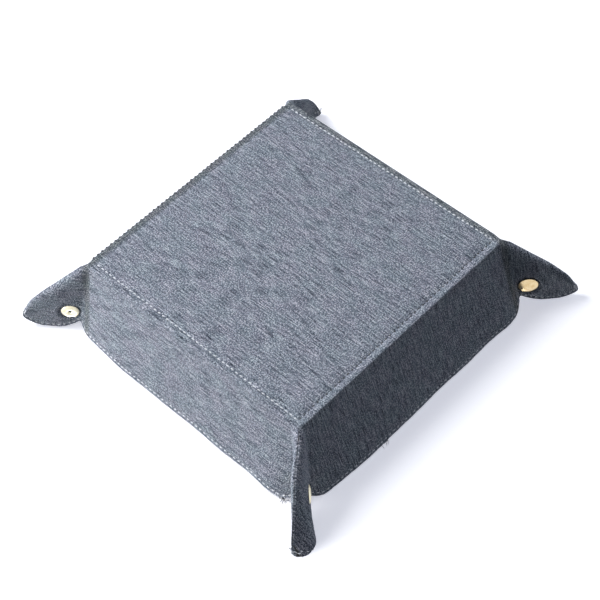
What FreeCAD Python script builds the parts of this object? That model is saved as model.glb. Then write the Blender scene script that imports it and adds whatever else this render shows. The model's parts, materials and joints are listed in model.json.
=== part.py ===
"""Folding dice tray: a square fabric tray whose four walls are held up by pinching each corner into
a pointed ear and closing a brass snap through it.

Frame: millimetres, +Z up, open side up, origin at the centre of the base's underside.

Every fabric panel is drawn in the flat sheet, on the +X side, and then folded up and turned about Z
to its own side. In the flat sheet, `out` is the distance past the base's +X fold line and `y` runs
along that line. The four walls and the four corners repeat by quarter turns.
"""

import math
import os

import FreeCAD
import Part

V = FreeCAD.Vector

# Driving dimensions
BASE_SIDE = 180.0  # fold line to fold line
WALL_SLANT = 60.0  # wall height along the fabric
WALL_ANGLE = 78.0  # a wall's rise from flat, snapped up
COVER = 0.8  # outer fabric
LINING = 0.8  # inner felt
BASE_BOARD = 1.6  # stiff board under the base's lining
INTERLINING = 0.6  # stiffener in a wall
EAR_HALF_WIDTH = 3.3  # from an ear's middle plane to the outer face of either flap
FOLD_GAP = 0.12  # clear space left at every fold line

# The wall's and the flap's outlines, as (out, distance past the base corner along y)
RIM_BEND_START = -5.0  # where the straight rim starts to curve down, past the corner
NOTCH_SLANT = 54.0  # along the crease, from the base to the notch between wall and flap
FLAP_START = 3.0  # the flap's lower end, out from the fold line
FLAP_SHOULDER_MID = (57.5, 12.2)
FLAP_SHOULDER_END = (60.4, 20.5)
FLAP_RIM_END = (61.4, 28.4)
FLAP_TIP_MID = (57.6, 40.3)
FLAP_TIP_OUT = 45.4
FLAP_EDGE_SETBACK = 2.2  # from the flat sheet's diagonal to the flap's edge

# Rounded corners of the base's layers
COVER_CORNER = 1.0
BOARD_CORNER = 2.0
BASE_SEAM_CORNER = 3.0

# Stitching
BASE_SEAM_INSET = 4.7  # from the fold line to the square of stitches in the base
RIM_SEAM_INSET = 2.0  # from the raw edge to the top stitching
THREAD_WIDTH = 0.6
THREAD_DEPTH = 0.4

# Snap fastener, a standard 12.5 mm cap
SNAP_ALONG_CREASE = 46.4  # from the base fold, along the crease
SNAP_FROM_CREASE = 7.4  # from the crease, across the flap
CAP_RADIUS = 6.25
CAP_HEIGHT = 2.3
CAP_RIM = 0.4  # the upright edge below the dome
CAP_WALL = 0.5
CAP_POST_RADIUS = 1.9
SOCKET_RADIUS = 5.0
SOCKET_MOUTH_RADIUS = 3.0
SOCKET_DEPTH = 2.6
STUD_PLATE_RADIUS = 5.0
STUD_HEAD_RADIUS = 2.7
STUD_NECK_RADIUS = 2.3
STUD_HEAD_BOTTOM = -0.5  # heights from the ear's middle plane
STUD_HEAD_WIDEST = 0.2  # the head is widest between this and minus this
STUD_HEAD_TOP = 0.55
STUD_HEAD_CHAMFER = 0.5
STUD_HOLLOW_RADIUS = 1.9
STUD_HOLLOW_TOP = 0.1
EYELET_RADIUS = 5.7
EYELET_TUBE_RADIUS = 1.5
EYELET_BORE_RADIUS = 1.1
EYELET_MOUTH_RADIUS = 1.5
EYELET_MOUTH_HEIGHT = 0.6
EYELET_HEIGHT = 0.9
EYELET_FLARE = 0.3  # how far the tube's end is turned over inside the stud
SPRING_WIRE_RADIUS = 0.25
SPRING_RING_RADIUS = 3.15
SPRING_OPENING = 50.0  # degrees missing from the split ring
SPRING_CLEARANCE = 0.05
SHEET_METAL = 0.45
CLINCH = 0.4  # how far a post's end is turned over, and how thick the turned part is
SHAFT_CLEARANCE = 0.1  # around a post in its hole

# Worked out from the above
HALF = BASE_SIDE / 2
RISE = math.radians(WALL_ANGLE)
CREASE_SLOPE = math.cos(RISE)  # along y per unit out: makes both flaps of an ear parallel
CREASE_ANGLE = math.atan(CREASE_SLOPE)
CREASE_START = HALF - math.sqrt(2) * EAR_HALF_WIDTH
CREASE_DIR = V(math.cos(CREASE_ANGLE), math.sin(CREASE_ANGLE), 0)
CREASE_FOLD = math.degrees(math.acos(math.sin(RISE) / math.sqrt(2)))
MITRE = math.tan(RISE / 2)  # fold-line setback per unit of height, so folded layers stay clear
BASE_STACK = COVER + BASE_BOARD + LINING
WALL_STACK = COVER + INTERLINING + LINING
FLAP_STACK = COVER + LINING
FLAP_INNER = EAR_HALF_WIDTH - FLAP_STACK  # from an ear's middle plane to a flap's inner face

SIDES = ("right", "back", "left", "front")
CORNERS = ("back_right", "back_left", "front_left", "front_right")  # at each side's +Y end


def closed_face(edges):
    """A flat face inside a closed loop of edges."""
    return Part.Face(Part.Wire(edges))


def line(a, b):
    return Part.LineSegment(a, b).toShape()


def arc(a, middle, b):
    return Part.Arc(a, middle, b).toShape()


def slab(face, bottom, thickness):
    """A sheet of the face's outline, from height bottom."""
    sheet = face.extrude(V(0, 0, thickness))
    sheet.translate(V(0, 0, bottom))
    return sheet


def fold_setback(top):
    """How far a layer whose top is at this height stays back from a base fold line."""
    return top * MITRE + FOLD_GAP


# ---------------------------------------------------------------- outlines in the flat sheet


def square(half_side, corner_radius):
    """A rounded square about the origin."""
    box = Part.makeBox(2 * half_side, 2 * half_side, 1, V(-half_side, -half_side, 0))
    uprights = [e for e in box.Edges if abs(e.tangentAt(e.FirstParameter).z) > 0.5]
    rounded = box.makeFillet(corner_radius, uprights)
    return min(rounded.Faces, key=lambda f: f.CenterOfMass.z)


def crease_y(out):
    """The crease's y at a distance out from the fold line."""
    return CREASE_START + CREASE_SLOPE * out


def wall_face(setback, rim_inset=0.0):
    """One wall between its two creases, its rim curving down to a notch at each crease."""
    gap = FOLD_GAP / math.cos(CREASE_ANGLE)
    rim = WALL_SLANT - rim_inset
    notch = (NOTCH_SLANT - rim_inset) * math.cos(CREASE_ANGLE)
    bend_start = HALF + RIM_BEND_START
    notch_y = crease_y(notch) - gap
    across = notch_y - bend_start
    down = rim - notch
    bend_radius = (across**2 + down**2) / (2 * down)
    half_turn = math.asin(across / bend_radius) / 2
    bend_mid_y = bend_start + bend_radius * math.sin(half_turn)
    bend_mid_out = rim - bend_radius * (1 - math.cos(half_turn))

    def at(out, y):
        return V(HALF + out, y, 0)

    foot_y = crease_y(setback) - gap
    return closed_face(
        [
            line(at(setback, -foot_y), at(setback, foot_y)),
            line(at(setback, foot_y), at(notch, notch_y)),
            arc(at(notch, notch_y), at(bend_mid_out, bend_mid_y), at(rim, bend_start)),
            line(at(rim, bend_start), at(rim, -bend_start)),
            arc(at(rim, -bend_start), at(bend_mid_out, -bend_mid_y), at(notch, -notch_y)),
            line(at(notch, -notch_y), at(setback, -foot_y)),
        ]
    )


def flap_face():
    """The half ear beyond the wall's +Y crease, up to the flat sheet's diagonal."""
    gap = FOLD_GAP / math.cos(CREASE_ANGLE)
    notch = NOTCH_SLANT * math.cos(CREASE_ANGLE)
    edge_drop = FLAP_EDGE_SETBACK * math.sqrt(2)

    def at(out, past_corner):
        return V(HALF + out, HALF + past_corner, 0)

    start_in = V(HALF + FLAP_START, crease_y(FLAP_START) + gap, 0)
    start_out = at(FLAP_START, FLAP_START - edge_drop)
    notch_point = V(HALF + notch, crease_y(notch) + gap, 0)
    tip = at(FLAP_TIP_OUT, FLAP_TIP_OUT - edge_drop)
    return closed_face(
        [
            line(start_in, notch_point),
            arc(notch_point, at(*FLAP_SHOULDER_MID), at(*FLAP_SHOULDER_END)),
            line(at(*FLAP_SHOULDER_END), at(*FLAP_RIM_END)),
            arc(at(*FLAP_RIM_END), at(*FLAP_TIP_MID), tip),
            line(tip, start_out),
            line(start_out, start_in),
        ]
    )


# ---------------------------------------------------------------- folding


def fold_wall(shape):
    """Turns a +X side piece up about its base fold line."""
    shape.rotate(V(HALF, 0, 0), V(0, 1, 0), -WALL_ANGLE)
    return shape


def fold_flap(shape):
    """Folds a +Y end flap out about its crease, then up with its wall."""
    shape.rotate(V(HALF, CREASE_START, 0), CREASE_DIR, -CREASE_FOLD)
    return fold_wall(shape)


def quarter_turn(shape, turns):
    """A copy of a +X side piece, turned to another side."""
    turned = shape.copy()
    turned.rotate(V(0, 0, 0), V(0, 0, 1), 90 * turns)
    return turned


def mirror_flap(shape):
    """A +X side's +Y flap piece, mirrored to that side's -Y end."""
    return shape.mirror(V(0, 0, 0), V(0, 1, 0))


# ---------------------------------------------------------------- fabric


def thread_pair(outer, inner, top):
    """Two threads of one lockstitch row: one let into the underside, one into the top."""
    band = outer.cut(inner)
    return slab(band, 0, THREAD_DEPTH), slab(band, top - THREAD_DEPTH, THREAD_DEPTH)


def base_pieces():
    """The base's cover, board and lining, and the square of stitches through them."""
    seam = HALF - BASE_SEAM_INSET
    under, over = thread_pair(
        square(seam + THREAD_WIDTH / 2, BASE_SEAM_CORNER),
        square(seam - THREAD_WIDTH / 2, BASE_SEAM_CORNER - THREAD_WIDTH),
        BASE_STACK,
    )
    board_top = COVER + BASE_BOARD
    cover = slab(square(HALF - fold_setback(COVER), COVER_CORNER), 0, COVER)
    board = slab(square(HALF - fold_setback(board_top), BOARD_CORNER), COVER, BASE_BOARD)
    lining = slab(square(HALF - fold_setback(BASE_STACK), BOARD_CORNER), board_top, LINING)
    return {
        "base_cover": cover.cut(under),
        "base_board": board,
        "base_lining": lining.cut(over),
        "base_seam_thread": Part.makeCompound([under, over]),
    }


def wall_pieces():
    """The +X wall's cover, interlining, lining and rim stitching."""
    setback = fold_setback(WALL_STACK)
    under, over = thread_pair(
        wall_face(setback, RIM_SEAM_INSET - THREAD_WIDTH / 2),
        wall_face(setback, RIM_SEAM_INSET + THREAD_WIDTH / 2),
        WALL_STACK,
    )
    middle_top = COVER + INTERLINING
    cover = slab(wall_face(fold_setback(COVER)), 0, COVER)
    interlining = slab(wall_face(fold_setback(middle_top), 2 * RIM_SEAM_INSET), COVER, INTERLINING)
    lining = slab(wall_face(setback), middle_top, LINING)
    return {
        "wall_cover": fold_wall(cover.cut(under)),
        "wall_interlining": fold_wall(interlining),
        "wall_lining": fold_wall(lining.cut(over)),
        "rim_thread": fold_wall(Part.makeCompound([under, over])),
    }


def flap_pieces(hole_radius):
    """The +X wall's +Y flap: cover and lining, with a hole for a snap's post."""
    across = V(-CREASE_DIR.y, CREASE_DIR.x, 0)
    centre = V(HALF, CREASE_START, 0) + CREASE_DIR * SNAP_ALONG_CREASE + across * SNAP_FROM_CREASE
    hole = Part.makeCylinder(hole_radius, FLAP_STACK, centre)
    cover = slab(flap_face(), 0, COVER).cut(hole)
    lining = slab(flap_face(), COVER, LINING).cut(hole)
    return {"flap_cover": fold_flap(cover), "flap_lining": fold_flap(lining)}


# ---------------------------------------------------------------- snap fastener
# Drawn about the Z axis with Z = 0 on the ear's middle plane and +Z towards the cap.


def turned_part(edges):
    """A solid of revolution about Z from a closed profile in the XZ plane."""
    return closed_face(edges).revolve(V(0, 0, 0), V(0, 0, 1), 360)


def turned_polygon(points):
    corners = [V(r, 0, z) for r, z in points]
    return turned_part([line(a, b) for a, b in zip(corners, corners[1:] + corners[:1])])


def dome_arc(rim_radius, rim_z, crown_z):
    """Half of a shallow dome's outline, an arc centred on the Z axis, from its rim to its crown."""
    height = crown_z - rim_z
    radius = (rim_radius**2 + height**2) / (2 * height)
    half_turn = math.asin(rim_radius / radius) / 2
    middle = V(radius * math.sin(half_turn), 0, crown_z - radius * (1 - math.cos(half_turn)))
    return arc(V(rim_radius, 0, rim_z), middle, V(0, 0, crown_z))


def snap_cap():
    """A domed cap on the outer face, with the hollow post that is clinched inside the socket."""
    seat = EAR_HALF_WIDTH
    rim_top = seat + CAP_RIM
    crown = seat + CAP_HEIGHT
    under = crown - CAP_WALL
    inner = CAP_RADIUS - CAP_WALL
    dome = turned_part(
        [
            line(V(inner, 0, seat), V(CAP_RADIUS, 0, seat)),
            line(V(CAP_RADIUS, 0, seat), V(CAP_RADIUS, 0, rim_top)),
            dome_arc(CAP_RADIUS, rim_top, crown),
            line(V(0, 0, crown), V(0, 0, under)),
            dome_arc(inner, seat, under),
        ]
    )
    clinch_face = FLAP_INNER - SHEET_METAL
    clinch_tip = clinch_face - CLINCH
    bore = CAP_POST_RADIUS - SHEET_METAL
    post = turned_polygon(
        [
            (bore, clinch_tip),
            (CAP_POST_RADIUS + CLINCH, clinch_tip),
            (CAP_POST_RADIUS + CLINCH, clinch_face),
            (CAP_POST_RADIUS, clinch_face),
            (CAP_POST_RADIUS, under),
            (bore, under),
        ]
    )
    return dome.fuse(post)


def snap_socket():
    """A round cup on the inner face, its mouth towards the stud."""
    top = FLAP_INNER
    mouth = top - SOCKET_DEPTH
    wall = SOCKET_RADIUS - SHEET_METAL
    return turned_polygon(
        [
            (CAP_POST_RADIUS + SHAFT_CLEARANCE, top),
            (SOCKET_RADIUS, top),
            (SOCKET_RADIUS, mouth),
            (SOCKET_MOUTH_RADIUS, mouth),
            (SOCKET_MOUTH_RADIUS, mouth + SHEET_METAL),
            (wall, mouth + SHEET_METAL),
            (wall, top - SHEET_METAL),
            (CAP_POST_RADIUS + SHAFT_CLEARANCE, top - SHEET_METAL),
        ]
    )


def snap_spring():
    """The split ring that grips the stud, drawn as wide as it opens to let the stud pass."""
    socket_floor = FLAP_INNER - SOCKET_DEPTH + SHEET_METAL
    centre = V(SPRING_RING_RADIUS, 0, socket_floor + SPRING_CLEARANCE + SPRING_WIRE_RADIUS)
    wire = Part.Wire([Part.makeCircle(SPRING_WIRE_RADIUS, centre, V(0, 1, 0))])
    return Part.Face(wire).revolve(V(0, 0, 0), V(0, 0, 1), 360 - SPRING_OPENING)


def snap_stud():
    """A plate on the inner face with a hollow round-headed stud."""
    plate_bottom = -FLAP_INNER
    plate_top = plate_bottom + SHEET_METAL
    return turned_polygon(
        [
            (EYELET_TUBE_RADIUS + SHAFT_CLEARANCE, plate_bottom),
            (STUD_PLATE_RADIUS, plate_bottom),
            (STUD_PLATE_RADIUS, plate_top),
            (STUD_NECK_RADIUS, plate_top),
            (STUD_NECK_RADIUS, STUD_HEAD_BOTTOM),
            (STUD_HEAD_RADIUS, -STUD_HEAD_WIDEST),
            (STUD_HEAD_RADIUS, STUD_HEAD_WIDEST),
            (STUD_HEAD_RADIUS - STUD_HEAD_CHAMFER, STUD_HEAD_TOP),
            (0, STUD_HEAD_TOP),
            (0, STUD_HOLLOW_TOP),
            (STUD_HOLLOW_RADIUS, STUD_HOLLOW_TOP),
            (STUD_HOLLOW_RADIUS, plate_top),
            (EYELET_TUBE_RADIUS + SHAFT_CLEARANCE, plate_top),
        ]
    )


def snap_eyelet():
    """The rolled ring on the stud's outer face, whose tube is flared inside the stud."""
    seat = -EAR_HALF_WIDTH
    ridge = seat - EYELET_HEIGHT
    plate_top = -FLAP_INNER + SHEET_METAL
    bore = EYELET_BORE_RADIUS
    mouth = V(EYELET_MOUTH_RADIUS, 0, seat - EYELET_MOUTH_HEIGHT)
    flare = EYELET_TUBE_RADIUS + EYELET_FLARE
    flare_top = plate_top + EYELET_FLARE
    return turned_part(
        [
            line(V(EYELET_RADIUS, 0, seat), V(EYELET_TUBE_RADIUS, 0, seat)),
            line(V(EYELET_TUBE_RADIUS, 0, seat), V(EYELET_TUBE_RADIUS, 0, plate_top)),
            line(V(EYELET_TUBE_RADIUS, 0, plate_top), V(flare, 0, plate_top)),
            line(V(flare, 0, plate_top), V(flare, 0, flare_top)),
            line(V(flare, 0, flare_top), V(bore, 0, flare_top)),
            line(V(bore, 0, flare_top), V(bore, 0, seat)),
            line(V(bore, 0, seat), mouth),
            arc(mouth, V((mouth.x + EYELET_RADIUS) / 2, 0, ridge), V(EYELET_RADIUS, 0, seat)),
        ]
    )


def snap_pieces():
    """The five pieces of the snap in the ear between the +X and +Y walls."""
    pieces = {
        "snap_cap": snap_cap(),
        "snap_socket": snap_socket(),
        "snap_spring": snap_spring(),
        "snap_stud": snap_stud(),
        "snap_eyelet": snap_eyelet(),
    }
    past_crease = V(0, -math.sqrt(2) * EAR_HALF_WIDTH, 0)
    along = V(HALF, HALF, 0) + past_crease
    crease = V(CREASE_DIR.y, CREASE_DIR.y, CREASE_DIR.x * math.sin(RISE))
    outward = V(1, 1, 0).normalize()
    across = (outward - crease * crease.dot(outward)).normalize()
    centre = along + crease * SNAP_ALONG_CREASE + across * SNAP_FROM_CREASE
    to_cap = V(-1, 1, 0).normalize()
    middle = centre + to_cap * EAR_HALF_WIDTH
    placement = FreeCAD.Placement(middle, FreeCAD.Rotation(V(0, 0, 1), to_cap))
    for shape in pieces.values():
        shape.Placement = placement
    return pieces


# ---------------------------------------------------------------- the whole tray


def all_pieces():
    """Every node's solid, by node name."""
    nodes = base_pieces()
    wall = wall_pieces()
    stud_flap = flap_pieces(EYELET_TUBE_RADIUS + SHAFT_CLEARANCE)
    cap_flap = flap_pieces(CAP_POST_RADIUS + SHAFT_CLEARANCE)
    snap = snap_pieces()
    for turns, (side, corner) in enumerate(zip(SIDES, CORNERS)):
        for name, shape in wall.items():
            nodes[f"{side}_{name}"] = quarter_turn(shape, turns)
        for name, shape in stud_flap.items():
            nodes[f"{corner}_stud_{name}"] = quarter_turn(shape, turns)
        for name, shape in cap_flap.items():
            nodes[f"{corner}_cap_{name}"] = quarter_turn(mirror_flap(shape), turns + 1)
        for name, shape in snap.items():
            nodes[f"{corner}_{name}"] = quarter_turn(shape, turns)
    return nodes


def main():
    os.makedirs("parts", exist_ok=True)
    for name, shape in all_pieces().items():
        shape.exportStep(f"parts/{name}.step")


main()
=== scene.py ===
"""The folding dice tray's looks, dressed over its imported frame.

Every cloth piece is first laid out in the flat sheet, in millimetres, on the tray's +X side: `out` is
the distance past the base's +X fold line and `y` runs along that line. A surface function carries
such a point to its place in the folded tray, and quarter turns about Z make the other sides.
"""

import json
import math
import random

import bpy
import numpy as np
from mathutils import Matrix, Vector


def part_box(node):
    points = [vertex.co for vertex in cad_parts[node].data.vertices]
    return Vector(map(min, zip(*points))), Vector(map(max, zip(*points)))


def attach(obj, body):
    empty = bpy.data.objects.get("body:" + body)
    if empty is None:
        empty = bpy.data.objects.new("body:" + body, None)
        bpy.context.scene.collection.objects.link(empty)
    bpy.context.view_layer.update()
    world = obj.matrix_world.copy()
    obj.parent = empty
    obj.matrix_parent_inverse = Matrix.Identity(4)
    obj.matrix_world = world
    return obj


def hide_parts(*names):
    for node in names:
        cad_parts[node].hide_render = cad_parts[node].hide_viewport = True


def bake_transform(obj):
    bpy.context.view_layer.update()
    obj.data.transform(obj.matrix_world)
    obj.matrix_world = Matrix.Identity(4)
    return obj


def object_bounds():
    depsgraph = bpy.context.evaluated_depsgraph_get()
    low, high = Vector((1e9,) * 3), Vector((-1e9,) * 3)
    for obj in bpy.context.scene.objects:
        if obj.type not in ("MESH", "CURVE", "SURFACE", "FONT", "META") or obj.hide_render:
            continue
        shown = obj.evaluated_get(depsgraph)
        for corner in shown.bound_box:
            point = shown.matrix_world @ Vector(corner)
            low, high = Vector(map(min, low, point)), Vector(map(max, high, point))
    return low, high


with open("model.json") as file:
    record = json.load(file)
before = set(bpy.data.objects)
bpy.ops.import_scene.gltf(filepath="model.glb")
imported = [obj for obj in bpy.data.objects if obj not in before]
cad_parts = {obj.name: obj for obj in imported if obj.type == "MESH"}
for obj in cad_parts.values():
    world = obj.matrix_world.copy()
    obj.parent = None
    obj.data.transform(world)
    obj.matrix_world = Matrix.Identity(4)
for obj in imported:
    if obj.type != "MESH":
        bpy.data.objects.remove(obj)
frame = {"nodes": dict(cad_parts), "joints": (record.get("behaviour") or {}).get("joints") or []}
CAD_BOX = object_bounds()

MM = 0.001
UV_PER_MM = 0.01
SIDES = ("right", "back", "left", "front")
CORNERS = ("back_right", "back_left", "front_left", "front_right")  # at each side's +Y end
FLAPS = [(corner, kind) for corner in CORNERS for kind in ("stud", "cap")]

# ---- measures from the frame

JOINTS = {j["name"]: j for j in frame["joints"]}
WALL_FOLD = JOINTS["right_wall_fold"]
CREASE_FOLD = JOINTS["back_right_stud_flap_fold"]


def height(node):
    low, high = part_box(node)
    return (high.z - low.z) / MM


def middle(node):
    low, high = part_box(node)
    return np.array((low + high) / 2) / MM


def unit(vector):
    return vector / np.linalg.norm(vector)


HALF = WALL_FOLD["pos_m"][0] / MM
RISE = math.radians(WALL_FOLD["range_deg"][1])
CREASE_TURN = math.radians(CREASE_FOLD["range_deg"][1])
CREASE_START = CREASE_FOLD["pos_m"][1] / MM
CREASE_DIR = np.array(CREASE_FOLD["axis"])  # folded
CREASE_ANGLE = math.atan(math.cos(RISE))  # in the flat sheet, from the wall's own upward direction
CREASE_COS, CREASE_SIN = math.cos(CREASE_ANGLE), math.sin(CREASE_ANGLE)
EAR_HALF_WIDTH = (HALF - CREASE_START) / math.sqrt(2)
COVER = height("base_cover")
LINING = height("base_lining")
BOARD = height("base_board")
INTERLINING = 0.6
SEAM_THREAD_WIDTH = 0.6
BASE_TOP = COVER + BOARD + LINING
WALL_SLANT = (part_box("right_wall_cover")[1].z / MM - COVER * math.cos(RISE)) / math.sin(RISE)
SEAM_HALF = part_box("base_seam_thread")[1].x / MM - SEAM_THREAD_WIDTH / 2
CAP_RADIUS = height("back_right_snap_cap") / 2

WALL_UP = np.array([math.cos(RISE), 0.0, math.sin(RISE)])
WALL_FACE = np.array([math.sin(RISE), 0.0, -math.cos(RISE)])  # a wall's outer normal
EAR_OUT = np.array([1.0, 1.0, 0.0]) / math.sqrt(2)
EAR_SIDE = np.array([1.0, -1.0, 0.0]) / math.sqrt(2)  # from an ear's middle plane to its +X flap
EDGE_SLOPE = math.radians(40)  # an ear's folded edge above the table
EDGE_INWARD = np.array([0, 0, math.cos(EDGE_SLOPE)]) - EAR_OUT * math.sin(EDGE_SLOPE)
FLAP_ACROSS = unit(EAR_OUT - CREASE_DIR * (CREASE_DIR @ EAR_OUT))
CREASE_FOOT = np.array([HALF, CREASE_START, 0.0])
# in the wall, square to the crease, towards the ear
WALL_ACROSS = np.array([0.0, CREASE_COS, 0.0]) - CREASE_SIN * WALL_UP
SNAP_MIDDLE = (middle("back_right_snap_cap") + middle("back_right_snap_eyelet")) / 2

# ---- the cloth's own shape

# folds
FOLD_REACH = 1.2  # half the width of the rounded fold round the base
CORNER_REACH = 4.0  # the same, beyond the fold line at a base corner
CORNER_SPAN = 3.0  # how far past the crease the fold takes to widen to that
FOLD_BULGE = 1.1  # how far the fold round the base swells past its line
CREASE_REACH = 2.6  # half the width of the rounded crease beside an ear
BOARD_RUN = 7.0  # how far up a wall its lining still leans on the board's edge
LINING_OVERHANG = 0.5  # the dark lining shows past the cover's raw edge
LAYER_GAP = 0.01  # between two sheets that lie on each other
STIFFENER_INSET = 5.0  # from a wall's fold and edges
STIFFENER_GAP = 0.05  # to the sheets on both sides of it

# walls
BOWS = {"right": 3.6, "back": 5.0, "left": 4.8, "front": 4.0}  # at mid rim, outwards
BOW_RISE = 1.25  # more than 1: a wall bows most near its rim
BOW_ENDS = (9.0, 5.0)  # how late the bow fades towards a wall's -Y and +Y creases
FLARE = 0.5  # extra bow beside the crease at each wall's -Y end
FLARE_PLACE = -0.84  # as a share of the way from mid wall to the crease
FLARE_WIDTH = 0.15

# ears, measured outwards from the base corner (reach) and inwards from the folded edge (inward)
NOSE_REACH = 7.0  # inwards, where an ear's flaps stand at full width
BEND_START = 23.0  # just past the snap
TIP_REACH = 50.5  # where an ear ends
TIP_PINCH = 0.4  # share of an ear's thickness lost at its tip
PINCH_SPAN = (24.0, 44.0)
ROUNDING_START = 28.0
TIP_ROUNDING = 2.0  # how far the folded edge draws back at the tip
TIP_CURVE = 10.0  # length of the rounded end of the folded edge
TIP_CUT = 3.5  # how far that end draws back at the very tip
TIP_DEPTH = 6.0  # how far inwards the drawing back reaches
EDGE_SLACK = 0.75  # so that the two flaps of an ear don't overlap when it is opened flat
EDGE_SPAN = (0.0, 6.0)  # where that slack starts
MIDDLE_GAP = 0.03  # from an ear's middle plane to the nearest sheet
EARLY_SPAN = (4.0, 24.0)  # where an ear already bends and rises before its snap
EARLY_BEND = 0.45  # share of a folded edge's bend that it makes there
BEND_POWER = 1.2  # more than 1: an ear bends most near its tip
BENT_DEPTH = 20.0  # inwards, where an ear bends as its rim does
PULL_BACK = 0.5  # how much a bent rim draws its ear's tip back
# at each ear's tip: how far its rim and its folded edge bend towards the stud flap, and its rise;
# and the share of that rise that is already made before the snap
EAR_BENDS = {
    "back_right": (-1.0, -2.0, 0.0, 0.0),
    "back_left": (7.5, -8.0, 9.5, 0.0),
    "front_left": (-1.0, -1.5, -2.5, 0.0),
    "front_right": (-18.0, -18.0, 8.0, 0.4),
}

# the sheet's outline
RIM_BEND_START = -5.0  # where the straight rim starts to curve down, past the base corner along y
NOTCH_SLANT = 54.0  # along the crease, from the base to the notch between wall and flap
# from there on: mid shoulder, shoulder's end, rim's end, mid tip and tip, as (out, past the corner)
EAR_OUTLINE = ((57.5, 12.2), (60.4, 20.5), (61.4, 28.4), (57.6, 40.3), (45.4, 45.4))

# the cloth round a snap's cap: a swollen ring and a dent, from the cap's edge, and a near-black ring of
# painted shadow
PUFF = (0.45, 2.8, 1.7)  # height, place and width
DENT = (0.9, 0.35, 0.75)
PUFF_START = 1.6  # the puff grows over this much, from the cap's edge
CAP_SHADOW_GAP = 0.25  # from the cap's edge to the middle of the ring of painted shadow
CAP_SHADOW_THICK = 0.55  # that ring's radius

# stitches
STITCH_PITCH = 3.66
STITCH_LENGTH = 2.5
THREAD_RADIUS = 0.34
BASE_THREAD_RADIUS = 0.45
FOLD_THREAD_RADIUS = 0.55  # of the stitches over the fold on the front side
YARN_RADIUS = 0.16
SEAM_ASIDE = 1.0  # the base's seam runs this much nearer the fold on the right side
RIM_SEAM_INSET = 2.0
STITCH_ASIDE = 0.12  # how unevenly the base's stitches lie
STITCH_LEAN = 0.16  # the most that one of them leans outwards
GROOVE = (0.3, 0.9)  # depth and width, where a row of stitches pulls the cloth in
FURROW = (0.45, 2.3)  # the same: a wider one round it on the base
# loose yarn ends at a wall's rim: where along it, how many, the longest, and a seed
TUFTS = {"left": ((-88.0, 16, 4.5, 3), (-93.0, 10, 3.0, 8)), "back": ((38.0, 9, 3.5, 5),)}
TUFT_SPREAD = 1.6

# the sheets of a panel: their name, their slot in the record, and how far they overhang
LAYERS = (("cover", "cover_cloth", 0.0), ("lining", "lining_felt", LINING_OVERHANG))


def smoothstep(low, high, x):
    t = np.clip((x - low) / (high - low), 0.0, 1.0)
    return t * t * (3 - 2 * t)


def flat_uv(out, y):
    """A point's distances along and across the +Y crease in the flat sheet."""
    dy = y - CREASE_START
    along = out * CREASE_COS + dy * CREASE_SIN
    across = -out * CREASE_SIN + dy * CREASE_COS
    return along, across


def from_uv(along, across):
    out = along * CREASE_COS - across * CREASE_SIN
    y = CREASE_START + along * CREASE_SIN + across * CREASE_COS
    return out, y


def bow_height(out, y, bow):
    """How far a wall bellies outwards, nothing at its fold and creases."""
    crease_y = CREASE_START + math.tan(CREASE_ANGLE) * np.maximum(out, 0)
    end = y / crease_y
    across = np.clip(1 - np.abs(end) ** np.where(end < 0, *BOW_ENDS), 0, 1)
    across *= 1 + FLARE * np.exp(-(((end - FLARE_PLACE) / FLARE_WIDTH) ** 2))
    ripple = 1 + 0.05 * np.sin(y / 13.0 + bow) + 0.04 * np.sin(y / 7.1 + out / 9.0)
    return bow * across * np.clip(out / WALL_SLANT, 0, 1.1) ** BOW_RISE * ripple


def rounded(a, b, c, share):
    """A point on the curve from a to c that b pulls towards itself."""
    share = share[..., None]
    return (1 - share) ** 2 * a + 2 * share * (1 - share) * b + share**2 * c


def spot(x, y, z):
    """Points from coordinates that may be single numbers or grids."""
    return np.stack(np.broadcast_arrays(x, y, z), -1).astype(float)


def wall_surface(out, y, bow):
    """A +X wall's outer face."""
    fold = spot(HALF, y, 0)
    foot = spot(HALF - FOLD_REACH, y, 0)
    bulged = spot(HALF + FOLD_BULGE, y, 0)
    turn = np.clip((out + FOLD_REACH) / (2 * FOLD_REACH), 0, 1)
    point = rounded(foot, bulged, fold + FOLD_REACH * WALL_UP, turn)
    point[..., 0] += np.minimum(out + FOLD_REACH, 0)
    point += np.maximum(out - FOLD_REACH, 0)[..., None] * WALL_UP
    return point + bow_height(out, y, bow)[..., None] * WALL_FACE


def wall_share(out, y, bow):
    """How much of the wall's turn a point makes, so that a bowed wall opens out flat."""
    bellied = np.arctan2(bow_height(out, y, bow), np.maximum(out, 1.0))
    return smoothstep(-FOLD_REACH, FOLD_REACH, out) * (1 - bellied / RISE)


def ear_bend(reach, inward, bend):
    """An ear's sideways shift, its pull-back to keep its length, and its rise, towards its tip."""
    rim_bend, edge_bend, rise, early_rise = bend
    length = TIP_REACH - BEND_START
    run = np.clip((reach - BEND_START) / length, 0, 1.2) ** BEND_POWER
    early = smoothstep(*EARLY_SPAN, reach)
    edge = edge_bend * (EARLY_BEND * early + (1 - EARLY_BEND * early) * run)
    side = edge + (rim_bend * run - edge) * smoothstep(0, BENT_DEPTH, inward)
    rise = rise * (early_rise * early + (1 - early_rise) * run)
    return side, PULL_BACK * (rim_bend * run) ** 2 / length, rise


def flap_plane(out, y):
    """A flap's outer face if it were flat, and each point's reach and depth inside the ear."""
    along, across = flat_uv(out, y)
    flat = CREASE_FOOT + along[..., None] * CREASE_DIR + across[..., None] * FLAP_ACROSS
    reach = (flat - np.array([HALF, HALF, 0])) @ EAR_OUT
    inward = np.maximum((out - (y - HALF)) / math.sqrt(2), 0)
    return flat, reach, inward


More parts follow.
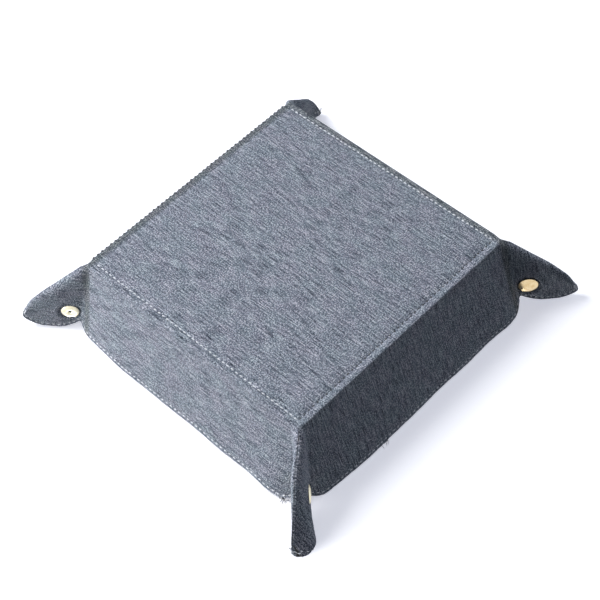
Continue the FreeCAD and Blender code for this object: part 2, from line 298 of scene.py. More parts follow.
def open_flap(out, y, bend, bow):
    """A flap's outer face beyond the base corner."""
    flat, reach, inward = flap_plane(out, y)
    nose = np.sqrt(np.clip(1 - (1 - np.minimum(inward / NOSE_REACH, 1)) ** 2, 0, 1))
    pinch = 1 - TIP_PINCH * smoothstep(*PINCH_SPAN, reach)
    side, back, rise = ear_bend(reach, inward, bend)
    width = EAR_HALF_WIDTH * nose * pinch + snap_puff(flat) + side
    end = np.clip((reach - TIP_REACH + TIP_CURVE) / TIP_CURVE, 0, 1)
    drawn = TIP_ROUNDING * smoothstep(ROUNDING_START, TIP_REACH, reach) + TIP_CUT * end**2
    drawn *= np.exp(-((inward / TIP_DEPTH) ** 2))
    along, across = flat_uv(out, y)
    # where the flap leans in to the ear's edge, its slope is longer than its flat width
    squeeze = EAR_HALF_WIDTH * (1 - nose * pinch)
    spare = across - np.sqrt(np.maximum(across**2 - squeeze**2, across**2 / 2))
    spare = (spare + EDGE_SLACK) * smoothstep(*EDGE_SPAN, reach) * (1 - nose)
    point = flat + (width - EAR_HALF_WIDTH)[..., None] * EAR_SIDE - spare[..., None] * FLAP_ACROSS
    point += drawn[..., None] * EDGE_INWARD - back[..., None] * EAR_OUT
    point[..., 2] += rise
    wall_edge = wall_surface(*from_uv(along, np.full_like(along, -CREASE_REACH)), bow)
    crease = CREASE_FOOT + along[..., None] * CREASE_DIR
    turn = np.clip((across + CREASE_REACH) / (2 * CREASE_REACH), 0, 1)
    rolled = rounded(wall_edge, crease, crease + CREASE_REACH * FLAP_ACROSS, turn)
    return np.where((across < CREASE_REACH)[..., None], rolled + (point - flat), point)


def flap_surface(out, y, bend, bow):
    """A +X side's +Y flap: its outer face, rounded into the base's corner."""
    past_crease = (y - CREASE_START) * CREASE_COS
    wider = smoothstep(-CREASE_REACH, CORNER_SPAN, past_crease)
    foot = FOLD_REACH + (CORNER_REACH - FOLD_REACH) * wider
    turn = np.clip((out + FOLD_REACH) / (foot + FOLD_REACH), 0, 1)
    above = open_flap(np.maximum(out, foot), y, bend, bow)
    start = spot(HALF - FOLD_REACH + np.minimum(out + FOLD_REACH, 0), y, 0)
    bulge = FOLD_BULGE * (1 - wider)
    corner = rounded(start, spot(HALF + bulge, y, 0), open_flap(foot, y, bend, bow), turn)
    on_wall = flat_uv(out, y)[1] <= -CREASE_REACH
    point = np.where((out < foot)[..., None], corner, above)
    return np.where(on_wall[..., None], wall_surface(out, y, bow), point)


def snap_puff(point):
    """The cloth swells in a ring round a snap that is pressed into it."""
    away = point - SNAP_MIDDLE
    away = np.linalg.norm(away - (away @ EAR_SIDE)[..., None] * EAR_SIDE, axis=-1)
    ring, dent = (
        size * np.exp(-(((away - CAP_RADIUS - place) / width) ** 2))
        for size, place, width in (PUFF, DENT)
    )
    return ring * smoothstep(CAP_RADIUS, CAP_RADIUS + PUFF_START, away) - dent


def flap_share(out, y, point):
    """How much of the flap's turn about its crease a point makes, so that it opens out flat."""
    _, across = flat_uv(out, y)
    away = point - CREASE_FOOT
    least = 0.3  # keeps the angle steady at the crease itself
    angle = np.arctan2(away @ np.cross(WALL_ACROSS, CREASE_DIR), np.maximum(away @ WALL_ACROSS, least))
    opened = np.clip(angle / CREASE_TURN, 0, 2)
    roll = smoothstep(-CREASE_REACH, CREASE_REACH, across)
    beyond = smoothstep(CREASE_REACH * 0.5, CREASE_REACH * 1.5, across)
    return roll * (1 + beyond * (opened - 1))


# ---- outlines in the flat sheet


def arc_points(a, b, c, count):
    """Points along the circle through a, b and c, from a to c."""
    (ax, ay), (bx, by), (cx, cy) = a, b, c
    d = 2 * (ax * (by - cy) + bx * (cy - ay) + cx * (ay - by))
    sa, sb, sc = ax**2 + ay**2, bx**2 + by**2, cx**2 + cy**2
    ux = (sa * (by - cy) + sb * (cy - ay) + sc * (ay - by)) / d
    uy = (sa * (cx - bx) + sb * (ax - cx) + sc * (bx - ax)) / d
    radius = math.hypot(ax - ux, ay - uy)
    angles = [math.atan2(py - uy, px - ux) for px, py in (a, b, c)]
    sweep = (angles[2] - angles[0]) % (2 * math.pi)
    if (angles[1] - angles[0]) % (2 * math.pi) > sweep:
        sweep -= 2 * math.pi
    turn = angles[0] + sweep * np.linspace(0, 1, count)
    return np.stack([ux + radius * np.cos(turn), uy + radius * np.sin(turn)], -1)


def lengths_along(path):
    steps = np.linalg.norm(np.diff(path, axis=0), axis=1)
    return np.concatenate([[0], np.cumsum(steps)])


def at_lengths(path, where):
    """Points of a path at these distances along it."""
    run = lengths_along(path)
    return np.stack([np.interp(where, run, path[:, i]) for i in range(path.shape[1])], -1)


def rim_outline():
    """The sheet's cut edge from mid wall to the ear's tip, as (out, y)."""
    notch = from_uv(NOTCH_SLANT, 0.0)
    start = (WALL_SLANT, HALF + RIM_BEND_START)
    across, down = notch[1] - start[1], WALL_SLANT - notch[0]
    radius = (across**2 + down**2) / (2 * down)
    half_turn = math.asin(across / radius) / 2
    drop = radius * (1 - math.cos(half_turn))
    bend_mid = (WALL_SLANT - drop, start[1] + radius * math.sin(half_turn))
    ear = [(out, HALF + past) for out, past in EAR_OUTLINE]
    shoulder_mid, shoulder_end, rim_end, tip_mid, tip = ear
    pieces = [
        np.array([(WALL_SLANT, 0.0), start]),
        arc_points(start, bend_mid, notch, 24)[1:],
        arc_points(notch, shoulder_mid, shoulder_end, 24)[1:],
        np.array([rim_end]),
        arc_points(rim_end, tip_mid, tip, 30)[1:],
    ]
    path = np.concatenate(pieces)
    spacing, reach = 0.5, 6
    even = at_lengths(path, np.arange(0, lengths_along(path)[-1], spacing))
    kernel = np.exp(-(np.arange(-reach, reach + 1) ** 2) / 8.0)
    kernel /= kernel.sum()
    padded = np.pad(even, ((reach, reach), (0, 0)), mode="reflect", reflect_type="odd")
    soft = np.stack([np.convolve(padded[:, i], kernel, "valid") for i in range(2)], -1)
    soft[0, 1] = 0.0
    wander = 0.10 * np.sin(soft[:, 1] / 1.9) + 0.08 * np.sin(soft[:, 1] / 0.83 + 1.0)
    soft[:, 0] += wander * smoothstep(0, 8, HALF + 44 - soft[:, 1])
    return np.concatenate([soft, [tip]])


RIM = rim_outline()
_, RIM_ACROSS = flat_uv(RIM[:, 0], RIM[:, 1])
CREASE_CUT = int(np.argmax(RIM_ACROSS > -CREASE_REACH))
WALL_RIM = RIM[: CREASE_CUT + 1]
FLAP_RIM = RIM[CREASE_CUT:]


def inset_path(path, inset):
    """A path moved sideways into the sheet."""
    ahead = np.gradient(path, axis=0)
    ahead /= np.linalg.norm(ahead, axis=1, keepdims=True)
    inward = np.stack([-ahead[:, 1], ahead[:, 0]], -1)
    return path + inset * inward


def rim_distance(out, y):
    """How far a point of the sheet is inside its cut edge."""
    points = np.stack([out, np.abs(y)], -1).reshape(-1, 1, 2)
    a, b = RIM[None, :-1], RIM[None, 1:]
    ab = b - a
    t = np.clip(((points - a) * ab).sum(-1) / (ab**2).sum(-1), 0, 1)
    return np.linalg.norm(points - (a + t[..., None] * ab), axis=-1).min(1).reshape(out.shape)


def groove(distance, shape=GROOVE):
    depth, width = shape
    return depth * np.exp(-((distance / width) ** 2))


def row_shares(length):
    """Rows from a fold to the cut edge, close together at the rounded fold and by the stitches."""
    foot = np.arange(0, 2 * FOLD_REACH + 2.5, 0.55)
    edge = length - np.array([3.6, 3.1, 2.7, 2.35, 2.0, 1.65, 1.3, 0.9, 0.45, 0.0])
    body = np.linspace(foot[-1], edge[0], 26)[1:-1]
    return np.concatenate([foot, body, edge]) / length


ROWS = row_shares(WALL_SLANT + FOLD_REACH)


def ruled(bottom, top):
    """A grid of flat points: straight columns from each bottom point to its top point."""
    share = ROWS[:, None, None]
    return bottom[None] * (1 - share) + top[None] * share


# ---- meshes


def normals_of(surface, out, y, *shape):
    """Outer normals of a surface function, by differences."""
    step = 0.05
    across = surface(out + step, y, *shape) - surface(out - step, y, *shape)
    along = surface(out, y + step, *shape) - surface(out, y - step, *shape)
    normal = np.cross(along, across)
    return normal / np.maximum(np.linalg.norm(normal, axis=-1, keepdims=True), 1e-9)


def turned(points, turns, mirrored=False):
    """Carries points from the +X side's own place to their side of the tray."""
    points = np.array(points, float)
    if mirrored:
        points[..., 1] *= -1
    for _ in range(turns % 4):
        x, y = points[..., 0].copy(), points[..., 1].copy()
        points[..., 0], points[..., 1] = -y, x
    return points


def add_object(name, data):
    thing = bpy.data.objects.new(name, data)
    bpy.context.scene.collection.objects.link(thing)
    return thing


def add_mesh(name, points, faces, uv=None):
    mesh = bpy.data.meshes.new(name)
    mesh.from_pydata((np.asarray(points) * MM).tolist(), [], faces)
    mesh.update()
    if uv is not None:
        layer = mesh.uv_layers.new(name="flat_sheet")
        corners = np.zeros(len(mesh.loops), int)
        mesh.loops.foreach_get("vertex_index", corners)
        layer.data.foreach_set("uv", (np.asarray(uv)[corners] * UV_PER_MM).ravel())
    mesh.polygons.foreach_set("use_smooth", [True] * len(mesh.polygons))
    return add_object(name, mesh)


def grid_faces(grid, flip):
    """The quads of a grid of vertex numbers."""
    corners = [grid[:-1, :-1], grid[:-1, 1:], grid[1:, 1:], grid[1:, :-1]]
    return np.stack(corners[::-1] if flip else corners, -1).reshape(-1, 4).tolist()


def border(grid):
    """The vertex numbers in order round a grid's border."""
    return np.concatenate([grid[0], grid[1:, -1], grid[-1, -2::-1], grid[-2:0:-1, 0]]).tolist()


def sheet(name, outer, inner, flat, flip=False):
    """A closed sheet between an outer and an inner grid of points, with the flat sheet as its UVs."""
    count = outer[..., 0].size
    points = np.concatenate([outer.reshape(-1, 3), inner.reshape(-1, 3)])
    grid = np.arange(count).reshape(outer.shape[:2])
    faces = grid_faces(grid, not flip) + grid_faces(grid + count, flip)
    ring = border(grid)
    for a, b in zip(ring, ring[1:] + ring[:1]):
        side = (a, b, b + count, a + count)
        faces.append(side if not flip else side[::-1])
    uv = np.concatenate([flat.reshape(-1, 2)] * 2)
    piece = add_mesh(name, points, faces, uv)
    piece.data.set_sharp_from_angle(angle=math.radians(50))
    return piece


def placed(points, turns, mirrored=False):
    """Points of the +X side in metres, at their side of the tray."""
    return [tuple(turned(point, turns, mirrored) * MM) for point in points]


def fold_ends(turns):
    """Where a wall's rounded fold leaves the base and where it meets the wall."""
    wall_end = np.array([HALF, 0, 0]) + FOLD_REACH * WALL_UP
    return placed(([HALF - FOLD_REACH, 0, 0], wall_end), turns)


def crease_ends(turns, mirrored):
    """Where a flap's rounded crease leaves the wall and where it meets the flap."""
    ends = (CREASE_FOOT - CREASE_REACH * WALL_ACROSS, CREASE_FOOT + CREASE_REACH * FLAP_ACROSS)
    return placed(ends, turns, mirrored)


def set_shares(piece, ends, shares):
    """Bakes a piece's placement into its mesh.

    The shares are not used.
    """
    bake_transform(piece)


def dress(piece, materials, slot, node):
    """Gives a piece its material and lets it stand for a CAD node."""
    piece.data.materials.append(materials[slot])
    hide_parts(node)


# ---- the base


def base_lines():
    """Grid lines over the base, close together at the stitches."""
    edge = HALF - FOLD_REACH
    steps = (-4.0, -3.2, -2.6, -2.0, -1.5, -1.1, -0.75, -0.4, 0, 0.4, 0.75, 1.1, 1.6, 2.2)
    near = SEAM_HALF + np.array(steps)
    near = near[near < edge - 0.2]
    body = np.linspace(-near[0], near[0], 38)[1:-1]
    return np.concatenate([[-edge], -near[::-1], body, near, [edge]])


def seam_distance(x, y):
    """How far a point of the base is from its square of stitches."""
    across = np.maximum(x - SEAM_HALF - SEAM_ASIDE, -x - SEAM_HALF)
    return np.abs(np.maximum(across, np.abs(y) - SEAM_HALF))


def make_base(materials):
    lines = base_lines()
    x, y = np.meshgrid(lines, lines, indexing="ij")
    edge = HALF - FOLD_REACH
    level_part = 1 - smoothstep(edge - 1.6, edge, np.maximum(np.abs(x), np.abs(y)))
    seam = seam_distance(x, y)
    sunk = (groove(seam) + groove(seam, FURROW)) * level_part
    under = COVER + BOARD + LAYER_GAP
    faces = {"cover": (sunk, COVER + 0.3 * sunk), "lining": (under, under + LINING - 0.5 * sunk)}
    for layer, slot, _ in LAYERS:
        low, high = faces[layer]
        flat = np.stack([x, y], -1)
        piece = sheet(f"{layer}_base", spot(x, y, low), spot(x, y, high), flat, flip=True)
        dress(piece, materials, slot, f"base_{layer}")
        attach(piece, "base")


# ---- walls


def wall_grid(overhang):
    """The flat points of a wall between its two rolled creases."""
    rim = inset_path(WALL_RIM, -overhang)
    run = lengths_along(rim)[-1]
    half_top = at_lengths(rim, np.linspace(0, run, 40))
    half_top[0, 1] = 0.0
    mirrored = half_top[:0:-1] * np.array([1, -1])
    top = np.concatenate([mirrored, half_top])
    foot_y = y_beside_crease(-FOLD_REACH, -CREASE_REACH)
    share = top[:, 1] / rim[-1, 1]
    bottom = np.stack([np.full(len(top), -FOLD_REACH), foot_y * share], -1)
    return ruled(bottom, top)


def y_beside_crease(out, across):
    """The y at which a line beside the crease passes this distance out."""
    along = (out + across * CREASE_SIN) / CREASE_COS
    return from_uv(along, across)[1]


def interlined(out, y):
    """1 where a wall holds its stiffener, 0 by its edges, fold and creases."""
    _, across = flat_uv(out, np.abs(y))
    to_edge = np.minimum(rim_distance(out, y), np.minimum(-across, out - FOLD_REACH))
    return smoothstep(STIFFENER_INSET - 2.2, STIFFENER_INSET + 0.5, to_edge)


def side_flat(flat, turns, mirrored=False):
    """Where flat points of the +X side lie in the whole flat sheet."""
    whole = np.stack([HALF + flat[..., 0], flat[..., 1], np.zeros(flat.shape[:-1])], -1)
    return turned(whole, turns, mirrored)[..., :2]


def over_board(points, surface, out, y, shape, depth, level):
    """Leads a lining from its level on the base, over the board's edge, to its place up the wall."""
    high = np.full_like(out, BOARD_RUN)
    end = surface(high, y, *shape) - depth * normals_of(surface, high, y, *shape)
    corner = end.copy()
    corner[..., 2] = level
    corner[..., 0] -= (end[..., 2] - level) / math.tan(RISE)
    turn = np.clip((out + FOLD_REACH) / (BOARD_RUN + FOLD_REACH), 0, 1)
    bent = rounded(spot(HALF - FOLD_REACH, y, level), corner, end, turn)
    return np.where((out < BOARD_RUN)[..., None], bent, points)


def layer_faces(layer, overhang, skin, normal, padded, surface, out, y, shape):
    """A panel's cover or lining: its face nearer the outside, and its other face.

    The groove of a row of stitches is full on the outside and shallower on the faces further in.
    """
    sunk = groove(rim_distance(out, y) - RIM_SEAM_INSET - overhang)[..., None]
    if layer == "cover":
        return skin - sunk * normal, skin - (COVER + 0.2 * sunk) * normal
    near, far = COVER + padded, COVER + LINING + padded - 0.6 * sunk
    level = COVER + BOARD
    outer = over_board(skin - near * normal, surface, out, y, shape, near, level)
    inner = over_board(skin - far * normal, surface, out, y, shape, far, level + LINING)
    return outer, inner


def make_wall(side, turns, materials):
    bow = BOWS[side]
    for layer, slot, overhang in LAYERS:
        flat = wall_grid(overhang)
        out, y = flat[..., 0], flat[..., 1]
        skin = wall_surface(out, y, bow)
        normal = normals_of(wall_surface, out, y, bow)
        padded = (INTERLINING * interlined(out, y))[..., None]
        faces = layer_faces(layer, overhang, skin, normal, padded, wall_surface, out, y, (bow,))
        outer, inner = (turned(face, turns) for face in faces)
        piece = sheet(f"{layer}_{side}_wall", outer, inner, side_flat(flat, turns))
        dress(piece, materials, slot, f"{side}_wall_{layer}")
        set_shares(piece, fold_ends(turns), wall_share(out, y, bow))


def make_interlining(side, turns, materials):
    """The stiffener inside a wall, following its bow."""
    bow = BOWS[side]
    rows, columns = 20, 50
    top = WALL_SLANT - STIFFENER_INSET
    out_rows = np.linspace(STIFFENER_INSET, top, rows)
    edge = np.array([y_beside_crease(o, -CREASE_REACH - STIFFENER_INSET) for o in out_rows])
    out = np.repeat(out_rows[:, None], columns, 1)
    y = edge[:, None] * np.linspace(-1, 1, columns)[None]
    y *= np.where(out > top - 6, 0.93, 1.0)  # narrower where the rim bends down
    skin = wall_surface(out, y, bow)
    normal = normals_of(wall_surface, out, y, bow)
    outer = turned(skin - (COVER + STIFFENER_GAP) * normal, turns)
    inner = turned(skin - (COVER + INTERLINING - STIFFENER_GAP) * normal, turns)
    flat = side_flat(np.stack([out, y], -1), turns)
    piece = sheet(f"interlining_{side}_wall", outer, inner, flat)
    dress(piece, materials, "interlining", f"{side}_wall_interlining")
    set_shares(piece, fold_ends(turns), wall_share(out, y, bow))


# ---- ears


def flap_grid(overhang):
    """The flat points of a flap from its rolled crease to the sheet's diagonal."""
    rim = inset_path(FLAP_RIM, -overhang)
    run = lengths_along(rim)[-1]
    even = np.linspace(0, 1, 56)
    share = 0.3 * even + 0.7 * (0.5 - 0.5 * np.cos(math.pi * even))  # closer together at both ends
    top = at_lengths(rim, run * share)
    top[-1] = rim[-1].mean() + np.array([-HALF / 2, HALF / 2])  # on the diagonal
    foot = y_beside_crease(-FOLD_REACH, -CREASE_REACH)
    bottom_y = foot + (HALF - FOLD_REACH - foot) * share
    bottom = np.stack([np.full(len(share), -FOLD_REACH), bottom_y], -1)
    return ruled(bottom, top)


def flap_shape(corner, kind):
    """(bend, quarter turns, mirrored, wall side) of a flap."""
    turns = CORNERS.index(corner)
    rim_bend, edge_bend, *rise = EAR_BENDS[corner]
    if kind == "stud":
        return (rim_bend, edge_bend, *rise), turns, False, SIDES[turns]
    return (-rim_bend, -edge_bend, *rise), turns + 1, True, SIDES[(turns + 1) % 4]


def inside_ear(points, shift):
    """Keeps a flap's faces from passing the ear's middle plane, which the bend shifts sideways."""
    push = np.maximum(MIDDLE_GAP - (points - shift) @ EAR_SIDE, 0)
    return points + push[..., None] * EAR_SIDE


def stacking(normal, out, y):
    """The direction in which a flap's layers lie on each other: sideways inside the bent ear."""
    lean = smoothstep(CREASE_REACH, CREASE_REACH + 6, flat_uv(out, y)[1]) * smoothstep(4, 10, out)
    return normal + lean[..., None] * (EAR_SIDE - normal)


def make_flap(corner, kind, materials):
    bend, turns, mirrored, side = flap_shape(corner, kind)
    shape = (bend, BOWS[side])
    tail = f"{corner}_{kind}_flap"
    for layer, slot, overhang in LAYERS:
        flat = flap_grid(overhang)
        out, y = flat[..., 0], flat[..., 1]
        skin = flap_surface(out, y, *shape)
        normal = stacking(normals_of(flap_surface, out, y, *shape), out, y)
        _, reach, inward = flap_plane(out, y)
        shift = ear_bend(reach, inward, bend)[0][..., None] * EAR_SIDE
        faces = layer_faces(layer, overhang, skin, normal, 0.0, flap_surface, out, y, shape)
        outer, inner = (turned(inside_ear(face, shift), turns, mirrored) for face in faces)
        piece = sheet(f"{layer}_{tail}", outer, inner, side_flat(flat, turns, mirrored), flip=mirrored)
        dress(piece, materials, slot, f"{tail}_{layer}")
        ends = crease_ends(turns, mirrored)
        set_shares(piece, ends, flap_share(out, y, skin))


# ---- stitches


def stitch(place, direction, normal, length, radius):
    """One stitch: a short thread that rises out of the cloth and dives back in."""
    rings, around = 6, 6
    side = np.cross(normal, direction)
    points = []
    for i in range(rings + 1):
        share = i / rings
        rise = math.sin(math.pi * share)
        centre = place + direction * length * (share - 0.5) + normal * radius * (1.5 * rise - 1.0)
        thick = radius * (0.55 + 0.45 * rise)
        for k in range(around):
            angle = 2 * math.pi * k / around
            points.append(centre + thick * (math.cos(angle) * side + math.sin(angle) * normal))
    faces = []
    for i in range(rings):
        for k in range(around):
            a = i * around + k
            b = i * around + (k + 1) % around
            faces.append((a, b, b + around, a + around))
    faces.append(tuple(range(around - 1, -1, -1)))
    faces.append(tuple(range(rings * around, rings * around + around)))
    return points, faces


class StitchMesh:
    """Gathers stitches, each with one share of a joint's turn, into one piece."""

    def __init__(self):
        self.points, self.faces, self.shares, self.tones = [], [], [], []

    def add(self, place, direction, normal, share=0.0, tone=0, size=(STITCH_LENGTH, THREAD_RADIUS)):
        points, faces = stitch(place, direction, normal, *size)
        start = len(self.points)
        self.points += points
        self.faces += [tuple(start + v for v in face) for face in faces]
        self.shares += [share] * len(points)
        self.tones += [tone] * len(faces)

    def piece(self, name, threads, turns=0, mirrored=False):
        faces = [f[::-1] for f in self.faces] if mirrored else self.faces
        piece = add_mesh(name, turned(self.points, turns, mirrored), faces)
        for thread in threads:
            piece.data.materials.append(thread)
        piece.data.polygons.foreach_set("material_index", self.tones)
        return piece


def make_base_stitches(threads):
    """The base's square of stitches: on the sides along X their outer stitches are painted near black as
    shade, and on one of them they lie over the fold.
    """
    mesh = StitchMesh()
    count = round(2 * SEAM_HALF / STITCH_PITCH)
    pitch = 2 * SEAM_HALF / count
    wobble = random.Random(7)
    for turns, side in enumerate(SIDES):
        # painted shade: on the back and front sides the outer stitches take the near-black thread,
        # though the thread is the same all round
        tone = turns % 2
        line = SEAM_HALF + (SEAM_ASIDE if side == "right" else 0)
        if side == "front":  # round the fold itself
            radius, out, depth, normal = FOLD_THREAD_RADIUS, HALF + 0.1, 0.25, [0.7, 0, -0.7]
        else:  # at the bottom of the groove, the ones painted in shade deeper
            depth = GROOVE[0] + FURROW[0] - 0.1 + 0.25 * tone
            radius, out, normal = BASE_THREAD_RADIUS, line, [0, 0, -1]
        for i in range(count):
            along = -SEAM_HALF + (i + 0.5) * pitch
            aside = wobble.uniform(-STITCH_ASIDE, STITCH_ASIDE)
            spot_out = turned([out + aside, along, depth], turns)
            spot_in = turned([line, along + pitch / 2, BASE_TOP - 0.35], turns)
            direction = turned([wobble.uniform(0.0, STITCH_LEAN), 1, 0], turns)
            mesh.add(spot_out, direction, turned(normal, turns), tone=tone, size=(STITCH_LENGTH, radius))
            if i < count - 1:
                mesh.add(spot_in, direction, np.array([0.0, 0, 1]))
    piece = mesh.piece("stitches_base", threads)
    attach(piece, "base")
    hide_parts("base_seam_thread")


def add_row(mesh, path, surface, shape, share_at):
    """A row of stitches along a flat path, on a surface's outer face and on its lining."""
    run = lengths_along(path)[-1]
    count = max(1, round(run / STITCH_PITCH))
    pitch = run / count
    for i in range(count):
        where = (i + 0.5) * pitch
        out, y = at_lengths(path, where + np.array([-0.6, 0, 0.6])).T
        points = surface(out, y, *shape)
        normal = normals_of(surface, out[1:2], y[1:2], *shape)[0]
        direction = unit(points[2] - points[0])
        sunk = GROOVE[0] * normal
        share = float(share_at(out[1:2], y[1:2], points[1:2])[0])
        mesh.add(points[1] - sunk, direction, normal, share)
        back = points[1] - normal * (COVER + LINING) + 0.6 * sunk
        mesh.add(back + direction * pitch / 2, direction, -normal, share)


def add_tuft(mesh, path, bow, tuft):
    """A few dark yarn ends that have worked loose at a wall's raw rim."""
    place, count, longest, seed = tuft
    wild = random.Random(seed)
    out = path[np.argmin(np.abs(path[:, 1] - place)), 0] + RIM_SEAM_INSET
    for _ in range(count):
        y = place + wild.gauss(0, TUFT_SPREAD)
        spot_on = np.array([out]), np.array([y]), bow
        root = wall_surface(*spot_on)[0]
        share = float(wall_share(*spot_on)[0])
        lean = wild.uniform(0.1, 1.0) * WALL_UP + wild.uniform(-0.7, 0.7) * WALL_FACE
        direction = unit(lean + np.array([0, wild.uniform(-1.2, 1.2), 0]))
        normal = unit(np.cross(direction, np.array([0.3, 0.5, 0.8])))
        length = wild.uniform(0.4, 1.0) * longest
        centre = root + direction * length * 0.35
        mesh.add(centre, direction, normal, share, 1, (length, YARN_RADIUS))


def make_wall_stitches(threads):
    half_path = inset_path(WALL_RIM, RIM_SEAM_INSET)
    path = np.concatenate([half_path[:0:-1] * np.array([1, -1]), half_path])[1:-1]
    for turns, side in enumerate(SIDES):
        bow = BOWS[side]
        mesh = StitchMesh()
        add_row(mesh, path, wall_surface, (bow,), lambda out, y, _: wall_share(out, y, bow))
        for tuft in TUFTS.get(side, ()):
            add_tuft(mesh, path, bow, tuft)
        piece = mesh.piece(f"stitches_{side}_wall", threads, turns)
        set_shares(piece, fold_ends(turns), mesh.shares)
        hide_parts(f"{side}_rim_thread")


def make_flap_stitches(threads):
    path = inset_path(FLAP_RIM, RIM_SEAM_INSET)
    from_diagonal = path[:, 0] - (path[:, 1] - HALF)
    path = path[from_diagonal > 1.5]  # stops short of the ear's folded edge
    for corner, kind in FLAPS:
        bend, turns, mirrored, side = flap_shape(corner, kind)
        mesh = StitchMesh()
        add_row(mesh, path, flap_surface, (bend, BOWS[side]), flap_share)
        tail = f"{corner}_{kind}_flap"
        piece = mesh.piece(f"stitches_{tail}", threads, turns, mirrored)
        set_shares(piece, crease_ends(turns, mirrored), mesh.shares)


# ---- materials


class Nodes:
    """Short calls for building the node tree of a material or a world."""

    def __init__(self, name, kind=bpy.data.materials):
        self.owner = kind.new(name)
        self.owner.use_nodes = True
        self.tree = self.owner.node_tree
        self.shader = self.tree.nodes.get("Principled BSDF")

    def add(self, kind, **settings):
        node = self.tree.nodes.new(kind)
        for key, value in settings.items():
            setattr(node, key, value)
        return node

    def link(self, a, b):
        self.tree.links.new(a, b)

    def value(self, socket, value):
        if hasattr(value, "is_linked"):
            self.link(value, socket)
        else:
            socket.default_value = value

    def surface(self, **inputs):
        """Sets the shader's inputs, named with _ for a space."""
        for name, value in inputs.items():
            self.value(self.shader.inputs[name.replace("_", " ")], value)

    def maths(self, operation, a, b):
        node = self.add("ShaderNodeMath", operation=operation)
        self.value(node.inputs[0], a)
        self.value(node.inputs[1], b)
        return node.outputs[0]

    def noise(self, vector, scale, detail=3.0, roughness=0.55):
        """A noise from 0 to 1 over a vector, stretched by a scale for each axis."""
        mapping = self.add("ShaderNodeMapping")
        mapping.inputs["Scale"].default_value = scale
        self.link(vector, mapping.inputs["Vector"])
        node = self.add("ShaderNodeTexNoise")
        node.inputs["Scale"].default_value = 1.0
        node.inputs["Detail"].default_value = detail
        node.inputs["Roughness"].default_value = roughness
        self.link(mapping.outputs["Vector"], node.inputs["Vector"])
        return node.outputs["Fac"]

    def weighed(self, parts):
        """The sum of values, each times its weight."""
        total = 0.0
        for socket, weight in parts:
            total = self.maths("ADD", total, self.maths("MULTIPLY", socket, weight))
        return total

    def product(self, a, b):
        node = self.add("ShaderNodeMix", data_type="RGBA", blend_type="MULTIPLY")
        node.inputs["Factor"].default_value = 1.0
        self.link(a, node.inputs[6])
        self.link(b, node.inputs[7])
        return node.outputs[2]

    def ramp(self, factor, stops):
        node = self.add("ShaderNodeValToRGB")
        elements = node.color_ramp.elements
        while len(elements) < len(stops):
            elements.new(0.5)
        for element, (position, colour) in zip(elements, stops):
            element.position = position
            element.color = (*colour, 1.0)
        self.link(factor, node.inputs["Fac"])
        return node.outputs["Color"]

    def bump(self, height_socket, strength, distance):
        node = self.add("ShaderNodeBump")
        node.inputs["Strength"].default_value = strength
        node.inputs["Distance"].default_value = distance
        self.link(height_socket, node.inputs["Height"])
        self.link(node.outputs["Normal"], self.shader.inputs["Normal"])

    def flat_sheet(self):
        return self.add("ShaderNodeUVMap", uv_map="flat_sheet").outputs["UV"]

    def position(self):
        return self.add("ShaderNodeTexCoord").outputs["Object"]


def cover_cloth():
    """Heathered blue-grey cloth: slubby yarns run along the sheet's Y, crossed by finer ones."""
    n = Nodes("cover_cloth")
    uv = n.flat_sheet()
    long_slubs = n.noise(uv, (135.0, 9.0, 1.0), detail=1.0, roughness=0.5)
    short_slubs = n.noise(uv, (160.0, 45.0, 1.0), detail=1.0, roughness=0.5)
    cross_yarns = n.noise(uv, (40.0, 165.0, 1.0), detail=1.0, roughness=0.5)
    grain = n.noise(uv, (150.0, 140.0, 1.0), detail=0.0)
    tone = n.weighed(((long_slubs, 0.26), (short_slubs, 0.16), (cross_yarns, 0.16), (grain, 0.42)))
    darker = (0.36, (0.024, 0.030, 0.044)), (0.445, (0.108, 0.127, 0.161))
    lighter = (0.52, (0.210, 0.237, 0.283)), (0.60, (0.530, 0.558, 0.610))
    colour = n.ramp(tone, darker + lighter)
    streaks = n.noise(uv, (130.0, 8.0, 1.0), detail=0.0)
    colour = n.product(colour, n.ramp(streaks, ((0.27, (0.52, 0.53, 0.56)), (0.38, (1.0, 1.0, 1.0)))))
    # painted shade: a narrow darker band along the base's folds on the +X and -Y sides, where the rolled
    # fold turns away from the light
    place = n.add("ShaderNodeSeparateXYZ")
    n.link(uv, place.inputs[0])
    edge = n.maths("MAXIMUM", place.outputs[0], n.maths("MULTIPLY", place.outputs[1], -1.0))
    edge = n.maths("MULTIPLY", edge, 0.5 / UV_PER_MM / HALF)  # 0.5 at the base's folds
    fold_shade_tone = (0.70, 0.70, 0.65)
    painted_fold_shade = ((0.476, (1.0, 1.0, 1.0)), (0.486, fold_shade_tone), (0.502, fold_shade_tone), (0.515, (1.0, 1.0, 1.0)))
    colour = n.product(colour, n.ramp(edge, painted_fold_shade))
    hue = n.noise(uv, (9.0, 6.0, 1.0), detail=2.0)
    tint = n.ramp(hue, ((0.38, (0.96, 1.0, 1.0)), (0.62, (1.03, 0.99, 1.02))))
    n.surface(Base_Color=n.product(colour, tint), Roughness=0.9, Specular_IOR_Level=0.12)
    n.surface(Sheen_Weight=0.06, Sheen_Roughness=0.5)
    relief = n.weighed(((short_slubs, 0.4), (cross_yarns, 0.3), (grain, 0.3)))
    n.bump(relief, 0.7, 0.0008)
    return n.owner


